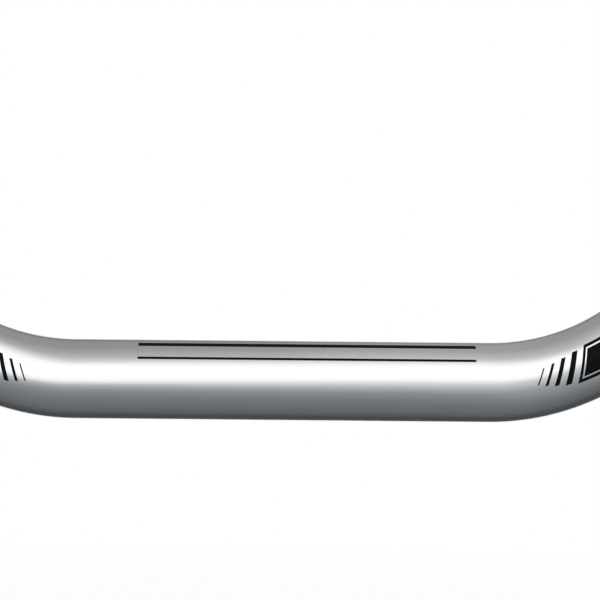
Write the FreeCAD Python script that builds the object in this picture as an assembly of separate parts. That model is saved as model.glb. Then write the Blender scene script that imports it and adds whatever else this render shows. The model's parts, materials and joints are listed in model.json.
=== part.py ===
# Riser handlebar: one butted aluminium tube, widest in the middle where the stem grips it,
# bent up and then level again on each side, and slimmed through those bends to take the grips.
import FreeCAD, Part
import math
import os

from FreeCAD import Placement, Rotation, Vector

# Driving dimensions, in millimetres and degrees
bar_width = 680.0          # between the centres of the two open ends
clamp_straight = 132.0     # straight run in the middle, between the lower bends
clamp_diameter = 25.4
clamp_wall = 2.8
lower_bend_radius = 74.0   # bend radii are taken on the centre line
rise_angle = 40.0          # slope of the leg between the two bends of a side
rise_leg = 18.0
upper_bend_radius = 74.0
up_sweep = 4.0             # how far the grips point up
back_sweep = 8.0           # how far the grips point back
grip_diameter = 22.2
grip_wall = 2.0
rim_chamfer = 0.6          # broken edge outside each open end
mouth_chamfer = 0.4        # broken edge inside each open end
taper_sections = 12        # circles that carry the taper through the bends

# Sizes that follow from those above
clamp_radius = clamp_diameter / 2
clamp_bore_radius = clamp_radius - clamp_wall
grip_radius = grip_diameter / 2
grip_bore_radius = grip_radius - grip_wall

# Directions along the right half, from the middle outwards: +X right, +Y back, +Z up
rise = math.radians(rise_angle)
up = math.radians(up_sweep)
back = math.radians(back_sweep)
front = Vector(0, -1, 0)
clamp_heading = Vector(1, 0, 0)
leg_heading = Vector(math.cos(rise), 0, math.sin(rise))
grip_heading = Vector(math.cos(up) * math.cos(back), math.cos(up) * math.sin(back), math.sin(up))


def bend(start, heading, new_heading, radius):
    """The arc that leaves start along heading and turns until it runs along new_heading."""
    axis = heading.cross(new_heading).normalize()
    centre = start + axis.cross(heading) * radius
    angle = math.degrees(heading.getAngle(new_heading))
    half_way = centre + Rotation(axis, angle / 2).multVec(start - centre)
    end = centre + Rotation(axis, angle).multVec(start - centre)
    return Part.Arc(start, half_way, end).toShape(), end


# Centre line of the right half, which thins as far as the crown, half way round the upper bend
clamp_end = clamp_heading * (clamp_straight / 2)
lower_bend, leg_start = bend(clamp_end, clamp_heading, leg_heading, lower_bend_radius)
leg_end = leg_start + leg_heading * rise_leg
leg = Part.LineSegment(leg_start, leg_end).toShape()
crown_heading = (leg_heading + grip_heading).normalize()
thinning_upper_bend, crown = bend(leg_end, leg_heading, crown_heading, upper_bend_radius)
even_upper_bend, grip_start = bend(crown, crown_heading, grip_heading, upper_bend_radius)
grip_straight = (bar_width / 2 - grip_start.x) / grip_heading.x
grip_end = grip_start + grip_heading * grip_straight
thinning_runs = [lower_bend, leg, thinning_upper_bend]
taper_length = sum(run.Length for run in thinning_runs)


def taper_station(distance):
    """Point and heading at a distance along the part of the centre line where the bar thins."""
    for run in thinning_runs:
        if distance <= run.Length or run is thinning_runs[-1]:
            parameter = run.getParameterByLength(min(distance, run.Length))
            return run.valueAt(parameter), run.tangentAt(parameter)
        distance = distance - run.Length


def section(point, heading, radius):
    """A circle round the centre line, square to it."""
    circle = Part.Wire(Part.Circle(Vector(), Vector(0, 0, 1), radius).toShape())
    circle.Placement = Placement(point, Rotation(front, Vector(), heading, "ZXY"))
    return circle


def tapered_bends(first_radius, last_radius):
    """A round bar from the clamp to the crown, easing from one radius to the other with no step."""
    sweep = Part.BRepOffsetAPI.MakePipeShell(Part.Wire(thinning_runs))
    for number in range(taper_sections + 1):
        share = number / taper_sections
        eased = share * share * (3 - 2 * share)
        point, heading = taper_station(taper_length * share)
        sweep.add(section(point, heading, first_radius + (last_radius - first_radius) * eased))
    sweep.build()
    sweep.makeSolid()
    return sweep.shape()


def even_bend(radius):
    """A round bar of one thickness from the crown to the start of the grip."""
    arc = even_upper_bend.Curve
    disc = Part.Face(section(crown, crown_heading, radius))
    return disc.revolve(arc.Center, arc.Axis, math.degrees(even_upper_bend.Length / arc.Radius))


def round_bar(middle_radius, end_radius):
    """The whole bent form as one solid round bar: the outside of the tube, or its bore."""
    middle = Part.makeCylinder(middle_radius, clamp_straight, clamp_end * -1, clamp_heading)
    grip = Part.makeCylinder(end_radius, grip_straight, grip_start, grip_heading)
    right = [tapered_bends(middle_radius, end_radius), even_bend(end_radius), grip]
    left = [piece.mirror(Vector(), clamp_heading) for piece in right]
    return middle.fuse(right + left)


def rim_edges(shape, radius):
    """The round edges of one radius at both open ends."""
    near_enough = 0.001
    circles = [edge for edge in shape.Edges if isinstance(edge.Curve, Part.Circle)]
    circles = [edge for edge in circles if abs(edge.Curve.Radius - radius) < near_enough]
    return [edge for edge in circles if abs(abs(edge.Curve.Center.x) - grip_end.x) < near_enough]


# The tube: outside less bore, with the edges of both ends broken
tube = round_bar(clamp_radius, grip_radius).cut(round_bar(clamp_bore_radius, grip_bore_radius))
tube = tube.makeChamfer(rim_chamfer, rim_edges(tube, grip_radius))
tube = tube.makeChamfer(mouth_chamfer, rim_edges(tube, grip_bore_radius))
handlebar = tube.Solids[0]

os.makedirs("parts", exist_ok=True)
handlebar.exportStep("parts/handlebar.step")
print("handlebar valid", handlebar.isValid(), "solids", len(tube.Solids))
print("volume mm3", round(handlebar.Volume, 1))
print("grip start", grip_start, "grip end", grip_end, "grip straight", round(grip_straight, 4))
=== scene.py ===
import bmesh
import bpy
import json
import math
from mathutils import Matrix, Vector


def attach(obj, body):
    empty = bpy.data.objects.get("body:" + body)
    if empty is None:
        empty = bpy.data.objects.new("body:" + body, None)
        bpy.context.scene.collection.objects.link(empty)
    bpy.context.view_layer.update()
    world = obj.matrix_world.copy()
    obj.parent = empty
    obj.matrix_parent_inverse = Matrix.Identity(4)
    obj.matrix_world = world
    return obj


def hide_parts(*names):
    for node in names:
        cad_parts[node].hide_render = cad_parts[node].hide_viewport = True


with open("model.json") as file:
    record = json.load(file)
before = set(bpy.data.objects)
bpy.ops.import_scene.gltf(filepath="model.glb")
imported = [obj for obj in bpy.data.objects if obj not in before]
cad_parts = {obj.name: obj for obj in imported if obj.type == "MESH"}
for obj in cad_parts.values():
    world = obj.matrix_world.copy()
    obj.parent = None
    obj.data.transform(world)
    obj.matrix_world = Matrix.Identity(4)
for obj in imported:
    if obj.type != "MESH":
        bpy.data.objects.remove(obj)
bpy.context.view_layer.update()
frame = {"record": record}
scene = bpy.context.scene
scene.view_settings.view_transform = "Standard"
mm = 0.001
white = (1.0, 1.0, 1.0, 1.0)
mounts = {mount["name"]: mount for mount in frame["record"]["mounts"]}
print("frame loaded, mounts", *mounts)


def mountSize(name, size):
    return mounts[name]["dims"][size] * mm


# The bar: diameters, straight runs and headings come from the frame, the rest is as it was drawn and bent
bar = {
    "clampRadius": mountSize("stem_clamp", "r_mm"),
    "clampHalf": mountSize("stem_clamp", "length_mm") / 2,
    "clampWall": 2.8 * mm,
    "gripRadius": mountSize("right_grip", "r_mm"),
    "gripBore": mountSize("right_end_bore", "r_mm"),
    "gripHeading": Vector(mounts["right_grip"]["axis"]).normalized(),
    "bendRadius": 74.0 * mm,  # on the centre line, lower and upper bends alike
    "riseAngle": math.radians(40.0),
    "riseLeg": 18.0 * mm,
    "rimChamfer": 0.6 * mm,
    "mouthChamfer": 0.4 * mm,
    "pathSteps": 160,  # from one point of the path to the next
}
acrossHeading = Vector((1, 0, 0))
legHeading = Vector((math.cos(bar["riseAngle"]), 0, math.sin(bar["riseAngle"])))
upperTurn = legHeading.angle(bar["gripHeading"])

# What follows from those sizes, measured along the centre line
bar["clampBore"] = bar["clampRadius"] - bar["clampWall"]
bar["gripStraight"] = mountSize("right_grip", "length_mm") + bar["rimChamfer"]
bar["lowerArc"] = bar["bendRadius"] * bar["riseAngle"]
bar["upperArc"] = bar["bendRadius"] * upperTurn
bar["gripStart"] = bar["clampHalf"] + bar["lowerArc"] + bar["riseLeg"] + bar["upperArc"]
bar["half"] = bar["gripStart"] + bar["gripStraight"]
bar["taperLength"] = bar["lowerArc"] + bar["riseLeg"] + bar["upperArc"] / 2  # half way round the upper bend


def tapered(along, middle, end):  # radius at a distance along the centre line, easing through the bends
    share = min(max((abs(along) - bar["clampHalf"]) / bar["taperLength"], 0.0), 1.0)
    return middle + (end - middle) * share * share * (3 - 2 * share)


def arcEnd(start, heading, newHeading, radius):
    axis = heading.cross(newHeading).normalized()
    centre = start + axis.cross(heading) * radius
    return centre + Matrix.Rotation(heading.angle(newHeading), 3, axis) @ (start - centre)


def arcHandle(radius, turn):  # the Bezier handle that draws a round arc
    return radius * math.tan(turn / 4) * 4 / 3


# Centre line of the bent bar, one Bezier path from the left end to the right
def buildPath():
    clampEnd = acrossHeading * bar["clampHalf"]
    legStart = arcEnd(clampEnd, acrossHeading, legHeading, bar["bendRadius"])
    legEnd = legStart + legHeading * bar["riseLeg"]
    gripStart = arcEnd(legEnd, legHeading, bar["gripHeading"], bar["bendRadius"])
    gripEnd = gripStart + bar["gripHeading"] * bar["gripStraight"]
    lowerHandle = arcHandle(bar["bendRadius"], bar["riseAngle"])
    upperHandle = arcHandle(bar["bendRadius"], upperTurn)
    gripHandle = bar["gripStraight"] / 3
    right = [  # point, heading, handle back along the path, handle on along it
        (clampEnd, acrossHeading, bar["clampHalf"] * 2 / 3, lowerHandle),
        (legStart, legHeading, lowerHandle, bar["riseLeg"] / 3),
        (legEnd, legHeading, bar["riseLeg"] / 3, upperHandle),
        (gripStart, bar["gripHeading"], upperHandle, gripHandle),
        (gripEnd, bar["gripHeading"], gripHandle, gripHandle),
    ]
    mirror = Matrix.Diagonal((-1, 1, 1))
    left = [(mirror @ point, -(mirror @ heading), on, back) for point, heading, back, on in reversed(right)]
    curve = bpy.data.curves.new("barPath", "CURVE")
    curve.dimensions = "3D"
    curve.resolution_u = bar["pathSteps"]
    spline = curve.splines.new("BEZIER")
    spline.bezier_points.add(len(left + right) - 1)
    for knot, (point, heading, back, on) in zip(spline.bezier_points, left + right):
        knot.handle_left_type = knot.handle_right_type = "FREE"
        knot.co = point
        knot.handle_left = point - heading * back
        knot.handle_right = point + heading * on
    path = bpy.data.objects.new("barPath", curve)
    scene.collection.objects.link(path)
    offAxis = (Vector(mounts["right_grip"]["pos_m"]) - gripStart).cross(bar["gripHeading"]).length
    print("path: grip runs off the frame's axis by mm", round(offAxis / mm, 4))
    return path


path = buildPath()


# Node helpers, for geometry and shaders alike
def addNode(tree, kind, **settings):
    node = tree.nodes.new(kind)
    for name, value in settings.items():
        setattr(node, name, value)
    return node


def feed(tree, socket, value):  # a value goes on the socket itself, an output is linked to it
    if isinstance(value, bpy.types.NodeSocket):
        tree.links.new(value, socket)
    else:
        socket.default_value = value


def mathNode(tree, operation, *values):
    node = addNode(tree, "ShaderNodeMath", operation=operation)
    for socket, value in zip(node.inputs, values):
        feed(tree, socket, value)
    return node.outputs[0]


def vectorNode(tree, operation, *values):
    node = addNode(tree, "ShaderNodeVectorMath", operation=operation)
    for socket, value in zip(node.inputs, values):
        feed(tree, socket, value)
    return node.outputs["Value" if operation in ("LENGTH", "DOT_PRODUCT") else "Vector"]


def scaled(tree, vector, factor):
    node = addNode(tree, "ShaderNodeVectorMath", operation="SCALE")
    feed(tree, node.inputs[0], vector)
    feed(tree, node.inputs["Scale"], factor)
    return node.outputs["Vector"]


def split(tree, vector):
    node = addNode(tree, "ShaderNodeSeparateXYZ")
    feed(tree, node.inputs[0], vector)
    return node.outputs


def join(tree, x, y, z):
    node = addNode(tree, "ShaderNodeCombineXYZ")
    for socket, value in zip(node.inputs, (x, y, z)):
        feed(tree, socket, value)
    return node.outputs[0]


def geometryNode(tree, kind, settings=None, **inputs):  # inputs are named without their spaces
    node = addNode(tree, "GeometryNode" + kind, **(settings or {}))
    for socket in node.inputs:
        label = socket.name.replace(" ", "")
        if label in inputs and socket.enabled:
            feed(tree, socket, inputs[label])
    return node.outputs


def merged(tree, *parts):
    node = addNode(tree, "GeometryNodeJoinGeometry")
    for part in parts:
        feed(tree, node.inputs[0], part)
    return node.outputs[0]


def newTree(name, inputs, output=("Geometry", "NodeSocketGeometry")):
    tree = bpy.data.node_groups.new(name, "GeometryNodeTree")
    for label, kind in inputs.items():
        tree.interface.new_socket(label, in_out="INPUT", socket_type="NodeSocket" + kind)
    tree.interface.new_socket(output[0], in_out="OUTPUT", socket_type=output[1])
    return tree, addNode(tree, "NodeGroupInput").outputs, addNode(tree, "NodeGroupOutput").inputs


# Shared group: carries a place on the straight tube to its place on the bent bar
def buildFollowBar():
    inputs = {"Straight": "Vector", "Path": "Object"}
    tree, given, result = newTree("followBar", inputs, ("Bent", "NodeSocketVector"))
    curve = geometryNode(tree, "ObjectInfo", Object=given["Path"])["Geometry"]
    length = geometryNode(tree, "CurveLength", Curve=curve)[0]
    place = split(tree, given["Straight"])
    along = mathNode(tree, "MULTIPLY_ADD", length, 0.5, place["X"])
    sampling = {"mode": "LENGTH", "use_all_curves": True}
    sample = geometryNode(tree, "SampleCurve", sampling, Curves=curve, Length=along)
    tangent = sample["Tangent"]
    front = vectorNode(tree, "NORMALIZE", vectorNode(tree, "CROSS_PRODUCT", tangent, (0.0, 0.0, 1.0)))
    up = vectorNode(tree, "NORMALIZE", vectorNode(tree, "CROSS_PRODUCT", front, tangent))
    forward = scaled(tree, front, mathNode(tree, "MULTIPLY", place["Y"], -1.0))
    aside = vectorNode(tree, "ADD", forward, scaled(tree, up, place["Z"]))
    feed(tree, result["Bent"], vectorNode(tree, "ADD", sample["Position"], aside))
    return tree


followBar = buildFollowBar()


def bend(tree, geometry, straight, pathSocket):  # stores the straight place for the grain, then bends
    kept = geometryNode(tree, "StoreNamedAttribute", {"data_type": "FLOAT_VECTOR", "domain": "POINT"},
                        Geometry=geometry, Name="straightPlace", Value=straight)["Geometry"]
    follow = addNode(tree, "GeometryNodeGroup", node_tree=followBar)
    feed(tree, follow.inputs["Straight"], straight)
    feed(tree, follow.inputs["Path"], pathSocket)
    return geometryNode(tree, "SetPosition", Geometry=kept, Position=follow.outputs["Bent"])["Geometry"]


def makePiece(name, mesh, tree, values):  # runs the tree and keeps its result as a plain mesh
    piece = bpy.data.objects.new(name, mesh)
    scene.collection.objects.link(piece)
    modifier = piece.modifiers.new(tree.name, "NODES")
    modifier.node_group = tree
    for item in tree.interface.items_tree:
        if item.in_out == "INPUT" and item.name in values:
            modifier[item.identifier] = values[item.name]
    depsgraph = bpy.context.evaluated_depsgraph_get()
    shaped = piece.evaluated_get(depsgraph)
    piece.data = bpy.data.meshes.new_from_object(shaped, preserve_all_data_layers=True, depsgraph=depsgraph)
    piece.modifiers.clear()
    piece.data.name = name
    bpy.data.meshes.remove(mesh)
    piece.data.shade_smooth()
    print(name, "faces", len(piece.data.polygons))
    return piece


# Materials: the grain reads the straight tube, so it runs round the bends with the metal
def newMaterial(name, finish):
    material = bpy.data.materials.new(name)
    material.use_nodes = True
    tree = material.node_tree
    shader = tree.nodes["Principled BSDF"]
    shader.inputs["Metallic"].default_value = finish["metallic"]
    place = addNode(tree, "ShaderNodeAttribute", attribute_name="straightPlace").outputs["Vector"]
    return material, tree, shader, place


def noise(tree, place, scale, detail):  # scale is a metre, along the tube and across it
    node = addNode(tree, "ShaderNodeTexNoise")
    node.inputs["Scale"].default_value = 1.0
    node.inputs["Detail"].default_value = detail
    feed(tree, node.inputs["Vector"], vectorNode(tree, "MULTIPLY", place, scale))
    return node.outputs["Fac"]


def spread(tree, value, low, high, fromLow=0.3, fromHigh=0.7):  # a noise lies mostly from 0.3 to 0.7
    node = addNode(tree, "ShaderNodeMapRange")
    for socket, number in zip(node.inputs, (value, fromLow, fromHigh, low, high)):
        feed(tree, socket, number)
    return node.outputs["Result"]


def opaque(colour):
    return (*colour, 1.0)


def mixColours(tree, factor, first, second, way="MIX"):
    node = addNode(tree, "ShaderNodeMix", data_type="RGBA", blend_type=way)
    for number, value in ((0, factor), (6, first), (7, second)):  # the node's factor and its two colours
        feed(tree, node.inputs[number], value)
    return node.outputs[2]


def applyFinish(tree, shader, finish, shade, rough, relief):  # shade and relief are patterns from 0 to 1
    darker, paler = finish["colours"]
    colour = mixColours(tree, spread(tree, shade, 0.0, 1.0), opaque(darker), opaque(paler))
    feed(tree, shader.inputs["Base Color"], colour)
    feed(tree, shader.inputs["Roughness"], rough)
    node = addNode(tree, "ShaderNodeBump")
    strength, distance = finish["bump"]
    node.inputs["Strength"].default_value = strength
    node.inputs["Distance"].default_value = distance
    feed(tree, node.inputs["Height"], relief)
    feed(tree, shader.inputs["Normal"], node.outputs["Normal"])


polish = {
    "metallic": 1.0,
    "colours": ((0.89, 0.895, 0.905), (0.91, 0.91, 0.912)),
    "roughness": (0.18, 0.22),
    "lineRoughness": (0.0, 0.06),
    "lines": {"scale": (45.0, 2600.0, 2600.0), "detail": 3.0},  # left by the buffing, along the tube
    "cloud": {"scale": (22.0, 60.0, 60.0), "detail": 2.0},
    "bump": (0.2, 0.02 * mm),
}


def polishedAlloy():
    material, tree, shader, place = newMaterial("polishedAlloy", polish)
    lines = noise(tree, place, **polish["lines"])
    cloud = noise(tree, place, **polish["cloud"])
    smooth = spread(tree, cloud, *polish["roughness"])
    rough = mathNode(tree, "ADD", smooth, spread(tree, lines, *polish["lineRoughness"]))
    applyFinish(tree, shader, polish, cloud, rough, lines)
    return material


drawn = {
    "metallic": 0.35,  # dulled by its oxide, so light scatters back out of the mouth
    "colours": ((0.40, 0.40, 0.41), (0.56, 0.56, 0.57)),
    "roughness": (0.46, 0.62),
    "lines": {"scale": (12.0, 900.0, 900.0), "detail": 3.0},
    "cloud": {"scale": (40.0, 120.0, 120.0), "detail": 4.0},
    "bump": (0.25, 0.05 * mm),
}


def drawnBore():  # inside, as it left the die
    material, tree, shader, place = newMaterial("drawnBore", drawn)
    lines = noise(tree, place, **drawn["lines"])
    cloud = noise(tree, place, **drawn["cloud"])
    applyFinish(tree, shader, drawn, cloud, spread(tree, lines, *drawn["roughness"]), lines)
    return material


faced = {
    "metallic": 1.0,
    "colours": ((0.74, 0.74, 0.75), (0.86, 0.86, 0.865)),
    "roughness": (0.22, 0.36),
    "rings": {"scale": (9000.0, 9000.0, 1.0), "detail": 2.0},  # fine rings across the wall
    "bump": (0.3, 0.02 * mm),
}


def facedRim():  # cut square on a lathe, so its lines run round
    material, tree, shader, place = newMaterial("facedRim", faced)
    part = split(tree, place)
    across = vectorNode(tree, "LENGTH", join(tree, 0.0, part["Y"], part["Z"]))
    rings = noise(tree, join(tree, across, part["X"], 0.0), **faced["rings"])
    applyFinish(tree, shader, faced, rings, spread(tree, rings, *faced["roughness"]), rings)
    return material


ink = {
    "metallic": 0.0,
    "gloss": 0.05,  # specular level, low for a dull ink
    "colours": ((0.002, 0.002, 0.0023), (0.005, 0.005, 0.0056)),
    "roughness": (0.34, 0.48),
    "cloud": {"scale": (900.0, 900.0, 900.0), "detail": 3.0},
    "bump": (0.1, 0.01 * mm),
}


def blackInk():
    material, tree, shader, place = newMaterial("blackInk", ink)
    shader.inputs["Specular IOR Level"].default_value = ink["gloss"]
    cloud = noise(tree, place, **ink["cloud"])
    applyFinish(tree, shader, ink, cloud, spread(tree, cloud, *ink["roughness"]), cloud)
    return material


# The tube: turned as a straight, butted blank, then bent along the path
tubeMesh = {
    "around": 96,
    "bendStep": 1.2 * mm,  # twice this in the bore
    "straightStep": 8.0 * mm,
    "edgeSoft": 0.1 * mm,  # rounding of the rims' broken edges
    "rimReach": 5.0 * mm,  # how far in from the ends the rims are drawn
}
outerFace, boreFace, rimFace = range(3)  # finishes of the tube's faces


def stations(step):  # distances along the centre line, from the left end to the right
    evenEnd = bar["half"] - bar["rimChamfer"] - tubeMesh["edgeSoft"]
    stops = [0.0, bar["clampHalf"], bar["gripStart"], evenEnd]
    steps = [tubeMesh["straightStep"], step, tubeMesh["straightStep"]]
    right = [0.0]
    for first, last, size in zip(stops, stops[1:], steps):
        count = math.ceil((last - first) / size)
        right += [first + (last - first) * (number + 1) / count for number in range(count)]
    return [-along for along in reversed(right[1:])] + right


def softCorners(corners, soft):  # each inner corner gives way to two points
    points = []
    for before, corner, after in zip(corners, corners[1:], corners[2:]):
        points += [corner + (side - corner).normalized() * soft for side in (before, after)]
    return points


def rimOutline():  # along and radius, from the outside of the right end round into its mouth
    end, outer, inner = bar["half"], bar["gripRadius"], bar["gripBore"]
    evenStart = end - tubeMesh["rimReach"]
    corners = [
        (evenStart, outer),
        (end - bar["rimChamfer"], outer),
        (end, outer - bar["rimChamfer"]),
        (end, inner + bar["mouthChamfer"]),
        (end - bar["mouthChamfer"], inner),
        (evenStart, inner),
    ]
    points = softCorners([Vector(corner) for corner in corners], tubeMesh["edgeSoft"])
    return [tuple(point) for point in points]


def tubeRings():  # along, radius and finish of the band that follows each ring
    rim = rimOutline()
    outside = stations(tubeMesh["bendStep"])[1:-1]
    inside = stations(2 * tubeMesh["bendStep"])[-2:0:-1]
    rings = [(along, tapered(along, bar["clampRadius"], bar["gripRadius"]), outerFace) for along in outside]
    rings += [(along, radius, rimFace) for along, radius in rim[:-1]]
    rings += [(*rim[-1], boreFace)]
    rings += [(along, tapered(along, bar["clampBore"], bar["gripBore"]), boreFace) for along in inside]
    rings += [(-along, radius, rimFace) for along, radius in reversed(rim[1:])]
    return rings + [(-rim[0][0], rim[0][1], outerFace)]


def straightBlank():
    blank = bmesh.new()
    finish = blank.faces.layers.int.new("finish")
    around = tubeMesh["around"]
    angles = [2 * math.pi * number / around for number in range(around)]
    profile = tubeRings()
    rings = []
    for along, radius, _ in profile:
        places = [(along, -radius * math.cos(angle), radius * math.sin(angle)) for angle in angles]
        rings.append([blank.verts.new(place) for place in places])
    for number, (_, _, kind) in enumerate(profile):
        ring, following = rings[number], rings[(number + 1) % len(rings)]
        for spot in range(around):
            after = (spot + 1) % around
            face = blank.faces.new((ring[spot], ring[after], following[after], following[spot]))
            face[finish] = kind
    for edge in blank.edges:  # rims keep their broken edges crisp
        onRim = any(face[finish] == rimFace for face in edge.link_faces)
        squareToTube = edge.verts[0].co.x == edge.verts[1].co.x
        edge.smooth = not (onRim and squareToTube)
    bmesh.ops.recalc_face_normals(blank, faces=blank.faces)
    mesh = bpy.data.meshes.new("straightBlank")
    blank.to_mesh(mesh)
    blank.free()
    return mesh


def buildBentTube():
    tree, given, result = newTree("bentTube", {"Geometry": "Geometry", "Path": "Object"})
    place = geometryNode(tree, "InputPosition")["Position"]
    bent = bend(tree, given["Geometry"], place, given["Path"])
    whole = geometryNode(tree, "RealizeInstances", Geometry=bent)["Geometry"]
    whole = geometryNode(tree, "SetMaterial", Geometry=whole, Material=polishedAlloy())["Geometry"]
    kind = geometryNode(tree, "InputNamedAttribute", {"data_type": "INT"}, Name="finish")["Attribute"]
    for number, material in ((boreFace, drawnBore()), (rimFace, facedRim())):
        same = addNode(tree, "FunctionNodeCompare", data_type="INT", operation="EQUAL")
        feed(tree, same.inputs[2], kind)
        feed(tree, same.inputs[3], number)
        whole = geometryNode(tree, "SetMaterial", Geometry=whole, Selection=same.outputs[0],
                             Material=material)["Geometry"]
    feed(tree, result["Geometry"], whole)
    return tree


barTube = makePiece("barTube", straightBlank(), buildBentTube(), {"Path": path})
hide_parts("handlebar")
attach(barTube, "root")


# Prints: flat artwork, x along the bar and y up its front, wrapped round the tapered tube and bent with it
printing = {
    "Film": 0.04 * mm,  # thickness of the ink
    "Sink": 0.02 * mm,  # how much of it lies below the metal's surface
    "Weld": 0.001 * mm,  # joins its underside to its edges
    "Path": path,
    "Clamp Half": bar["clampHalf"],
    "Taper Length": bar["taperLength"],
    "Clamp Radius": bar["clampRadius"],
    "Grip Radius": bar["gripRadius"],
}
inkMaterial = blackInk()


def printTree(name, artwork):  # a tree with one input for each size of the artwork and of the tube under it
    inputs = {"Geometry": "Geometry"}
    for label, value in {**artwork, **printing}.items():
        inputs[label] = "Int" if isinstance(value, int) else "Float"
    inputs["Path"] = "Object"
    return newTree(name, inputs)


def layPrint(tree, given, flat):
    raised = geometryNode(tree, "ExtrudeMesh", {"mode": "FACES"}, Mesh=flat, Offset=(0.0, 0.0, 1.0),
                          OffsetScale=given["Film"], Individual=False)["Mesh"]
    under = geometryNode(tree, "FlipFaces", Mesh=flat)["Mesh"]
    closed = merged(tree, raised, under)
    film = geometryNode(tree, "MergeByDistance", Geometry=closed, Distance=given["Weld"])["Geometry"]
    place = split(tree, geometryNode(tree, "InputPosition")["Position"])
    taper = addNode(tree, "ShaderNodeMapRange", interpolation_type="SMOOTHSTEP")
    feed(tree, taper.inputs["Value"], mathNode(tree, "ABSOLUTE", place["X"]))
    feed(tree, taper.inputs["From Min"], given["Clamp Half"])
    feed(tree, taper.inputs["From Max"], mathNode(tree, "ADD", given["Clamp Half"], given["Taper Length"]))
    feed(tree, taper.inputs["To Min"], given["Clamp Radius"])
    feed(tree, taper.inputs["To Max"], given["Grip Radius"])
    radius = taper.outputs["Result"]
    angle = mathNode(tree, "DIVIDE", place["Y"], radius)
    height = mathNode(tree, "SUBTRACT", mathNode(tree, "ADD", radius, place["Z"]), given["Sink"])
    forward = mathNode(tree, "MULTIPLY", height, -1.0)
    y = mathNode(tree, "MULTIPLY", forward, mathNode(tree, "COSINE", angle))
    z = mathNode(tree, "MULTIPLY", height, mathNode(tree, "SINE", angle))
    bent = bend(tree, film, join(tree, place["X"], y, z), given["Path"])
    whole = geometryNode(tree, "RealizeInstances", Geometry=bent)["Geometry"]
    return geometryNode(tree, "SetMaterial", Geometry=whole, Material=inkMaterial)["Geometry"]


guideLines = {  # two lines that show where the stem sits
    "Middle": 7.9 * mm,
    "Length": 107.3 * mm,
    "Upper Angle": math.radians(62.8),
    "Upper Width": 2.0 * mm,
    "Lower Angle": math.radians(33.9),
    "Lower Width": 0.88 * mm,
    "Columns": 60,  # of mesh points along a line, and rows across it
    "Rows": 6,
}


def buildGuideLines():
    tree, given, result = printTree("guideLines", guideLines)
    strips = []
    for which in ("Upper", "Lower"):
        strip = geometryNode(tree, "MeshGrid", SizeX=given["Length"], SizeY=given[which + " Width"],
                             VerticesX=given["Columns"], VerticesY=given["Rows"])["Mesh"]
        lift = mathNode(tree, "MULTIPLY", given[which + " Angle"], given["Clamp Radius"])
        spot = join(tree, given["Middle"], lift, 0.0)
        strips.append(geometryNode(tree, "SetPosition", Geometry=strip, Offset=spot)["Geometry"])
    feed(tree, result["Geometry"], layPrint(tree, given, merged(tree, *strips)))
    return tree


emptyMesh = bpy.data.meshes.new("linesFlat")  # the tree brings all the geometry
lines = makePiece("guideLines", emptyMesh, buildGuideLines(), {**guideLines, **printing})
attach(lines, "root")


slantBars = {  # on the front of each lower bend: slanted bars that widen into a solid panel
    "Side": 1.0,  # 1 on the right, -1 on the left
    "Bars": 4,
    "Start": 82.0 * mm,
    "First Width": 0.5 * mm,
    "Widening": 0.5 * mm,
    "Gap": 2.2 * mm,
    "Panel": 40.0 * mm,
    "Height": 11.0 * mm,
    "First Height": 5.0 * mm,
    "Heightening": 1.5 * mm,
    "Border": 1.0 * mm,  # solid edge of the panel
    "Keyline": 0.5 * mm,  # bare metal inside that edge
    "Cell": 0.5 * mm,
    "Lift": 0.5 * mm,
    "Slant": math.tan(math.radians(30.0)),
    "Bar Columns": 5,
    "Bar Rows": 19,
}


def barStart(tree, given, number):  # where a bar begins, after those before it and their gaps
    pairs = mathNode(tree, "MULTIPLY", number, mathNode(tree, "SUBTRACT", number, 1.0))
    grown = mathNode(tree, "MULTIPLY", mathNode(tree, "MULTIPLY", pairs, 0.5), given["Widening"])
    pitch = mathNode(tree, "ADD", given["First Width"], given["Gap"])
    return mathNode(tree, "ADD", given["Start"], mathNode(tree, "MULTIPLY_ADD", number, pitch, grown))


def barRow(tree, given):  # upright bars, each wider and taller than the one before
    number = geometryNode(tree, "InputIndex")["Index"]
    width = mathNode(tree, "MULTIPLY_ADD", number, given["Widening"], given["First Width"])
    height = mathNode(tree, "MULTIPLY_ADD", number, given["Heightening"], given["First Height"])
    middle = mathNode(tree, "MULTIPLY_ADD", width, 0.5, barStart(tree, given, number))
    spot = join(tree, middle, 0.0, 0.0)
    row = geometryNode(tree, "MeshLine", Count=given["Bars"])["Mesh"]
    row = geometryNode(tree, "SetPosition", Geometry=row, Position=spot)["Geometry"]
    single = geometryNode(tree, "MeshGrid", SizeX=1.0, SizeY=1.0,
                          VerticesX=given["Bar Columns"], VerticesY=given["Bar Rows"])["Mesh"]
    bars = geometryNode(tree, "InstanceOnPoints", Points=row, Instance=single,
                        Scale=join(tree, width, height, 1.0))["Instances"]
    return geometryNode(tree, "RealizeInstances", Geometry=bars)["Geometry"]


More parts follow.
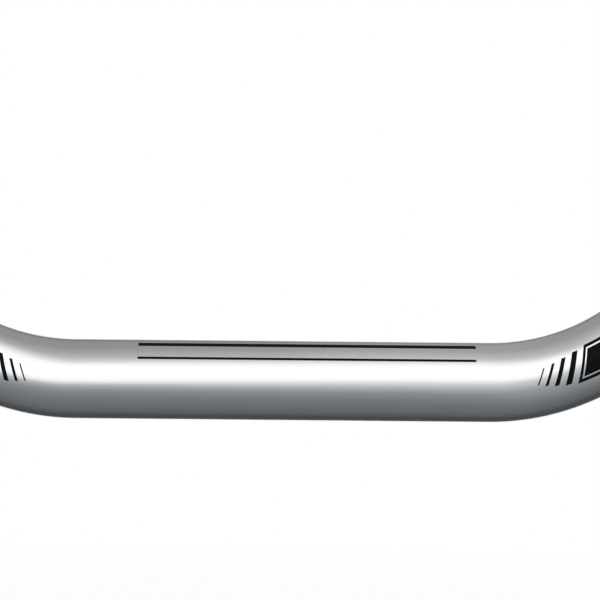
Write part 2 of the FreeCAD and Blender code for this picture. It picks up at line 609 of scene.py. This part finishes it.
def keylinePanel(tree, given):  # a solid panel, with a line of bare metal inside its edge
    place = split(tree, geometryNode(tree, "InputPosition")["Position"])
    points = []
    inward = []
    for size, along in ((given["Panel"], place["X"]), (given["Height"], place["Y"])):
        points.append(mathNode(tree, "ADD", mathNode(tree, "DIVIDE", size, given["Cell"]), 1.0))
        half = mathNode(tree, "MULTIPLY", size, 0.5)
        inward.append(mathNode(tree, "SUBTRACT", half, mathNode(tree, "ABSOLUTE", along)))
    panel = geometryNode(tree, "MeshGrid", SizeX=given["Panel"], SizeY=given["Height"],
                         VerticesX=points[0], VerticesY=points[1])["Mesh"]
    fromEdge = mathNode(tree, "MINIMUM", *inward)
    pastBorder = mathNode(tree, "GREATER_THAN", fromEdge, given["Border"])
    keylineEnd = mathNode(tree, "ADD", given["Border"], given["Keyline"])
    bare = mathNode(tree, "MULTIPLY", pastBorder, mathNode(tree, "LESS_THAN", fromEdge, keylineEnd))
    panel = geometryNode(tree, "DeleteGeometry", {"domain": "FACE"}, Geometry=panel,
                         Selection=bare)["Geometry"]
    middle = mathNode(tree, "MULTIPLY_ADD", given["Panel"], 0.5, barStart(tree, given, given["Bars"]))
    spot = join(tree, middle, 0.0, 0.0)
    return geometryNode(tree, "SetPosition", Geometry=panel, Offset=spot)["Geometry"]


def buildSlantBars():
    tree, given, result = printTree("slantBars", slantBars)
    upright = merged(tree, barRow(tree, given), keylinePanel(tree, given))
    place = split(tree, geometryNode(tree, "InputPosition")["Position"])
    leaning = mathNode(tree, "MULTIPLY_ADD", place["Y"], given["Slant"], place["X"])
    sided = mathNode(tree, "MULTIPLY", leaning, given["Side"])
    spot = join(tree, sided, mathNode(tree, "ADD", place["Y"], given["Lift"]), 0.0)
    artwork = geometryNode(tree, "SetPosition", Geometry=upright, Position=spot)["Geometry"]
    mirrored = mathNode(tree, "LESS_THAN", given["Side"], 0.0)
    artwork = geometryNode(tree, "FlipFaces", Mesh=artwork, Selection=mirrored)["Mesh"]
    feed(tree, result["Geometry"], layPrint(tree, given, artwork))
    return tree


slantTree = buildSlantBars()
for name, side in (("rightSlantBars", 1.0), ("leftSlantBars", -1.0)):
    emptyMesh = bpy.data.meshes.new(name + "Flat")
    stripes = makePiece(name, emptyMesh, slantTree, {**slantBars, **printing, "Side": side})
    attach(stripes, "root")

pathCurve = path.data
bpy.data.objects.remove(path)
bpy.data.curves.remove(pathCurve)


# Camera: level with the bar and square to it, tipped by the photograph's slight roll
view = {
    "aim": Vector((5.52 * mm, 0, 25.83 * mm)),
    "distance": 1.0,
    "field": 192.0 * mm,  # width of the picture at the bar
    "roll": math.radians(0.545),
    "sensor": 36.0,
}


def buildCamera():
    camera = bpy.data.cameras.new("barCamera")
    camera.sensor_width = view["sensor"]
    camera.lens = camera.sensor_width * view["distance"] / view["field"]
    holder = bpy.data.objects.new("barCamera", camera)
    turn = Matrix.Rotation(math.radians(90), 4, "X") @ Matrix.Rotation(view["roll"], 4, "Z")
    holder.matrix_world = Matrix.Translation(view["aim"] + Vector((0, -view["distance"], 0))) @ turn
    scene.collection.objects.link(holder)
    scene.camera = holder


buildCamera()
print("camera set")


# Studio: a lamp high in front, a pale floor, and a card, a net, a screen and a dome for the metal to mirror
def gradient(tree, value, stops):  # grey levels, each at its own place along the value
    first, last = stops[0][0], stops[-1][0]
    node = addNode(tree, "ShaderNodeValToRGB")
    while len(node.color_ramp.elements) < len(stops):
        node.color_ramp.elements.new(0.5)
    for element, (place, level) in zip(node.color_ramp.elements, stops):
        element.position = (place - first) / (last - first)
        element.color = opaque((level, level, level))
    feed(tree, node.inputs[0], spread(tree, value, 0.0, 1.0, first, last))
    return node.outputs["Color"]


def multiplied(tree, first, second):  # colours
    return mixColours(tree, 1.0, first, second, "MULTIPLY")


def mixShaders(tree, factor, first, second):
    node = addNode(tree, "ShaderNodeMixShader")
    for socket, value in zip(node.inputs, (factor, first, second)):
        feed(tree, socket, value)
    return node.outputs[0]


def objectPlace(tree):
    return split(tree, addNode(tree, "ShaderNodeTexCoord").outputs["Object"])


lamp = {
    "size": (2.0, 1.4),
    "distance": 4.0,
    "high": math.radians(60.0),
    "level": 9.6,
}


def buildLamp():
    light = bpy.data.lights.new("softLamp", "AREA")
    light.shape = "RECTANGLE"
    light.size, light.size_y = lamp["size"]
    light.energy = lamp["level"] * math.pi * light.size * light.size_y
    holder = bpy.data.objects.new("softLamp", light)
    away = Vector((0, -math.cos(lamp["high"]), math.sin(lamp["high"])))
    holder.location = away * lamp["distance"]
    holder.rotation_euler = away.to_track_quat("Z", "Y").to_euler()
    holder.visible_camera = False
    holder.visible_glossy = False  # the screen stands for it in reflections
    scene.collection.objects.link(holder)


dome = {  # white to the camera, graded to the metal, even light to the rest
    "brightest": (0.0, -0.643, 0.766),  # high in front
    "levels": [  # degrees from there, and brightness
        (11.5, 0.614), (19.1, 0.583), (25.8, 0.513), (42.0, 0.441), (50.0, 0.371), (85.0, 0.363),
        (92.0, 0.33), (98.0, 0.283), (104.0, 0.189), (112.0, 0.165), (130.0, 0.118),
    ],
    "across": [(-0.16, 0.87), (-0.06, 1.0)],  # heading's x, and factor: darker far to the left
    "horizon": (0.24, 0.32),  # heading's z from the white low down to the graded air
    "ambient": 0.66,
}


def buildDome():
    world = bpy.data.worlds.new("studioAir")
    world.use_nodes = True
    scene.world = world
    tree = world.node_tree
    tree.nodes.clear()
    heading = addNode(tree, "ShaderNodeTexCoord").outputs["Generated"]
    part = split(tree, heading)
    away = mathNode(tree, "ARCCOSINE", vectorNode(tree, "DOT_PRODUCT", heading, dome["brightest"]))
    graded = gradient(tree, mathNode(tree, "DEGREES", away), dome["levels"])
    graded = multiplied(tree, graded, gradient(tree, part["X"], dome["across"]))
    rays = addNode(tree, "ShaderNodeLightPath").outputs
    low = spread(tree, part["Z"], 1.0, 0.0, *dome["horizon"])
    seen = mixColours(tree, mathNode(tree, "MAXIMUM", low, rays["Is Camera Ray"]), graded, white)
    shown = addNode(tree, "ShaderNodeBackground")
    feed(tree, shown.inputs["Color"], seen)
    lighting = addNode(tree, "ShaderNodeBackground")
    lighting.inputs["Color"].default_value = white
    lighting.inputs["Strength"].default_value = dome["ambient"]
    direct = mathNode(tree, "MAXIMUM", rays["Is Camera Ray"], rays["Is Glossy Ray"])
    direct = mathNode(tree, "MAXIMUM", direct, rays["Is Transmission Ray"])
    air = mixShaders(tree, direct, lighting.outputs[0], shown.outputs[0])
    feed(tree, addNode(tree, "ShaderNodeOutputWorld").inputs["Surface"], air)


def stageSheet(name, points, faces):
    mesh = bpy.data.meshes.new(name)
    mesh.from_pydata(points, [], faces)
    sheet = bpy.data.objects.new(name, mesh)
    scene.collection.objects.link(sheet)
    material = bpy.data.materials.new(name)
    material.use_nodes = True
    mesh.materials.append(material)
    return sheet, material.node_tree


def flatSheet(name, halfWidth, front, back, height):
    corners = [(-halfWidth, front), (halfWidth, front), (halfWidth, back), (-halfWidth, back)]
    return stageSheet(name, [(x, y, height) for x, y in corners], [(0, 1, 2, 3)])


floor = {
    "colour": (0.98, 0.98, 0.98),
    "roughness": 0.9,
    "drop": 0.10,
    "reach": 15.0,
    "fade": (0.3, 0.6),  # metres from the middle: the lit floor up to one, plain white past the other
}


def buildFloor():
    reach = floor["reach"]
    sheet, tree = flatSheet("paleFloor", reach, -reach, reach, -floor["drop"])
    sheet.visible_glossy = False  # the card stands for it in reflections
    shader = tree.nodes["Principled BSDF"]
    shader.inputs["Base Color"].default_value = opaque(floor["colour"])
    shader.inputs["Roughness"].default_value = floor["roughness"]
    part = objectPlace(tree)
    out = vectorNode(tree, "LENGTH", join(tree, part["X"], part["Y"], 0.0))
    far = addNode(tree, "ShaderNodeEmission")
    far.inputs["Color"].default_value = white
    faded = spread(tree, out, 0.0, 1.0, *floor["fade"])
    upper = mixShaders(tree, faded, shader.outputs[0], far.outputs[0])
    below = addNode(tree, "ShaderNodeNewGeometry").outputs["Backfacing"]
    clear = addNode(tree, "ShaderNodeBsdfTransparent").outputs[0]
    feed(tree, tree.nodes["Material Output"].inputs["Surface"], mixShaders(tree, below, upper, clear))


def onlyReflected(sheet, tree, shade, kind="Emission"):  # shade gives the colour at each place
    tree.nodes.clear()
    shader = addNode(tree, "ShaderNode" + kind)
    feed(tree, shader.inputs["Color"], shade(objectPlace(tree)))
    feed(tree, addNode(tree, "ShaderNodeOutputMaterial").inputs["Surface"], shader.outputs[0])
    for ray in ("camera", "diffuse", "shadow", "transmission", "volume_scatter"):
        setattr(sheet, "visible_" + ray, False)


card = {  # lies under the bar
    "drop": 0.26,
    "halfWidth": 6.0,
    "reach": (-1.2, 1.2),
    "tint": (0.93, 1.0, 1.06),
    "levels": [  # metres behind the bar's axis, and brightness
        (-1.18, 0.55), (-0.907, 0.475), (-0.643, 0.39), (-0.489, 0.32), (-0.385, 0.273), (-0.31, 0.25),
        (-0.203, 0.214), (-0.116, 0.185), (-0.046, 0.167), (0.027, 0.145), (0.121, 0.10), (0.196, 0.065),
        (0.5, 0.08), (0.7, 0.20), (0.9, 0.9), (1.18, 1.0),
    ],
    "rightStart": (0.09, 0.125),  # metres to the right, where it turns paler in front
    "rightFactors": [(-0.7, 1.0), (-0.3, 1.2), (-0.2, 1.2), (-0.04, 1.0)],
}


def buildCard():
    sheet, tree = flatSheet("shadedCard", card["halfWidth"], *card["reach"], -card["drop"])

    def shade(place):
        graded = gradient(tree, place["Y"], card["levels"])
        paler = multiplied(tree, graded, gradient(tree, place["Y"], card["rightFactors"]))
        right = spread(tree, place["X"], 0.0, 1.0, *card["rightStart"])
        return multiplied(tree, mixColours(tree, right, graded, paler), opaque(card["tint"]))

    onlyReflected(sheet, tree, shade)


net = {  # hangs over the bar and dims the dome, most on the left
    "height": 0.1,
    "halfWidth": 3.0,
    "reach": (-0.04, 0.3),  # back from where the screen's light ends
    "passes": [  # metres to the right, and share of light
        (-0.066, 0.8), (-0.056, 0.855), (-0.005, 0.865), (0.025, 1.0), (0.06, 1.0), (0.072, 0.95),
    ],
}


def buildNet():
    sheet, tree = flatSheet("dimNet", net["halfWidth"], *net["reach"], net["height"])

    def shade(place):
        return gradient(tree, place["X"], net["passes"])

    onlyReflected(sheet, tree, shade, "BsdfTransparent")


screen = {  # stands in front of the bar, bent round its axis
    "reach": 1.5,
    "halfWidth": 2.4,
    "rows": 24,
    "levels": [  # degrees above the horizon, and brightness
        (-12.2, 0.555), (-8.0, 0.63), (-5.0, 0.76), (-1.0, 0.97), (3.0, 1.12), (7.0, 1.15), (43.0, 1.14),
        (48.0, 1.08), (52.0, 0.98), (56.0, 0.82), (60.0, 0.66), (64.0, 0.57), (68.0, 0.52), (72.0, 0.475),
    ],
    "lean": (-11.0, 6.4),  # degrees: hung a little askew, up on the right
    "leanReach": (-0.25, 0.132),  # metres left and right, where the lean ends
}


def buildScreen():
    low, high = screen["levels"][0][0], screen["levels"][-1][0]
    rows, reach, half = screen["rows"], screen["reach"], screen["halfWidth"]
    angles = [math.radians(low + (high - low) * row / rows) for row in range(rows + 1)]
    outline = [(-reach * math.cos(angle), reach * math.sin(angle)) for angle in angles]
    points = [(x, y, z) for y, z in outline for x in (-half, half)]
    faces = [(2 * row, 2 * row + 1, 2 * row + 3, 2 * row + 2) for row in range(rows)]
    sheet, tree = stageSheet("softScreen", points, faces)

    def shade(place):
        forward = mathNode(tree, "MULTIPLY", place["Y"], -1.0)
        above = mathNode(tree, "DEGREES", mathNode(tree, "ARCTAN2", place["Z"], forward))
        lean = spread(tree, place["X"], *screen["lean"], *screen["leanReach"])
        return gradient(tree, mathNode(tree, "SUBTRACT", above, lean), screen["levels"])

    onlyReflected(sheet, tree, shade)


buildLamp()
buildDome()
buildFloor()
buildCard()
buildNet()
buildScreen()
print("studio set")

bpy.context.view_layer.update()
